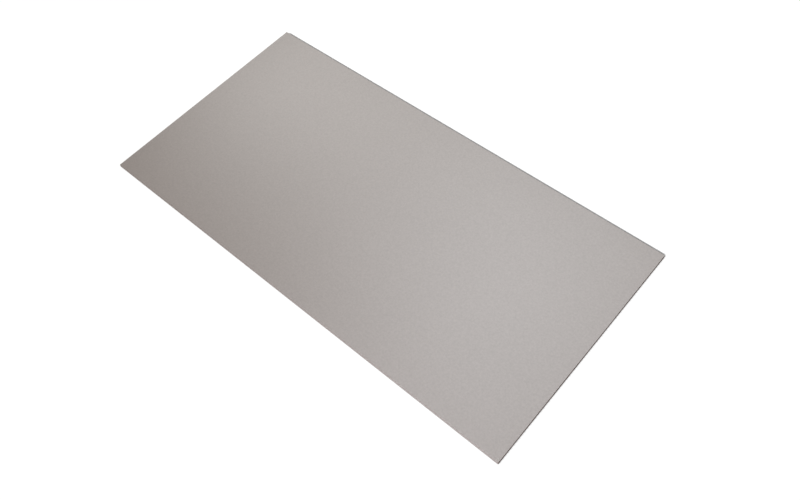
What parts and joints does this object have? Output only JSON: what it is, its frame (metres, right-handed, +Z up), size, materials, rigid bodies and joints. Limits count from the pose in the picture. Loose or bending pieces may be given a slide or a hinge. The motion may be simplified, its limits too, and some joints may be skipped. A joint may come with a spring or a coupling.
{
  "type": "pvc ceiling panel",
  "caption": "Flat rectangular ceiling panel extruded from rigid PVC as a thin hollow board with lengthwise flutes, laid into a suspended ceiling grid",
  "frame": {"origin": "centre of the underside, on the floor that the panel lies on", "axes": "+X along the flutes, which is the panel's length; +Y across its width; +Z up, out of the finished face"},
  "size_m": [1.21, 0.605, 0.01],
  "materials": {
    "pvc": "satin"
  },
  "bodies": {
    "root": {"panel": "pvc"}
  },
  "joints": []
}
